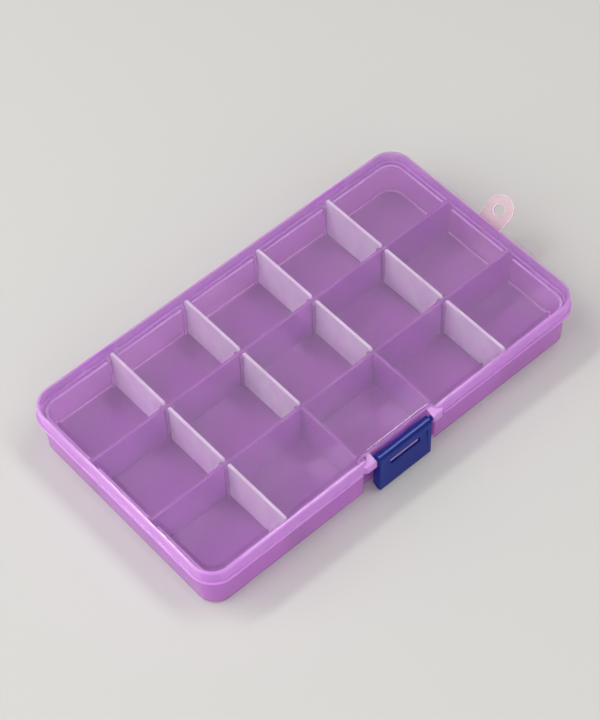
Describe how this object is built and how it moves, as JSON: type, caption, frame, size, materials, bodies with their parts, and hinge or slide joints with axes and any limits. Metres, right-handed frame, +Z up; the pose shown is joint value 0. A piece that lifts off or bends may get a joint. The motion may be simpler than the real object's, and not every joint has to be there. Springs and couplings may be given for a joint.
{
  "type": "compartment storage box",
  "caption": "Flat see-through storage box for small craft parts: shallow compartment tray, hinged lid, front snap latch, lift-out dividers and a folding hanging tab.",
  "frame": {"origin": "middle of the tray's flat underside", "axes": "+X along the box towards the hanging tab, -Y towards the latch, +Y towards the hinge, +Z up out of the tray"},
  "size_m": [0.1865, 0.1019, 0.0232],
  "materials": {
    "violet_clear": "clear violet, glossy",
    "blue_plastic": "glossy, slightly clear blue",
    "pale_clear": "natural frosted",
    "frosted_divider": "natural frosted"
  },
  "bodies": {
    "tray": {"tray": "violet_clear", "divider_back_1": "frosted_divider", "divider_back_2": "frosted_divider", "divider_back_3": "frosted_divider", "divider_back_4": "frosted_divider", "divider_middle_1": "frosted_divider", "divider_middle_2": "frosted_divider", "divider_middle_3": "frosted_divider", "divider_middle_4": "frosted_divider", "divider_front_1": "frosted_divider", "divider_front_2": "frosted_divider"},
    "lid": {"lid": "violet_clear"},
    "latch": {"latch": "blue_plastic"},
    "hanging_tab": {"hanging_tab": "pale_clear"}
  },
  "joints": [
    {"name": "lid_hinge", "type": "hinge", "parent": "tray", "child": "lid", "pos_m": [0, 0.0496, 0.01645], "axis": [-1, 0, 0], "range_deg": [0, 180]},
    {"name": "latch_hinge", "type": "hinge", "parent": "lid", "child": "latch", "pos_m": [0, -0.0487, 0.018], "axis": [-1, 0, 0], "range_deg": [0, 120]},
    {"name": "tab_hinge", "type": "hinge", "parent": "tray", "child": "hanging_tab", "pos_m": [0.08665, 0, 0.0132], "axis": [0, 1, 0], "range_deg": [-25, 90]}
  ]
}
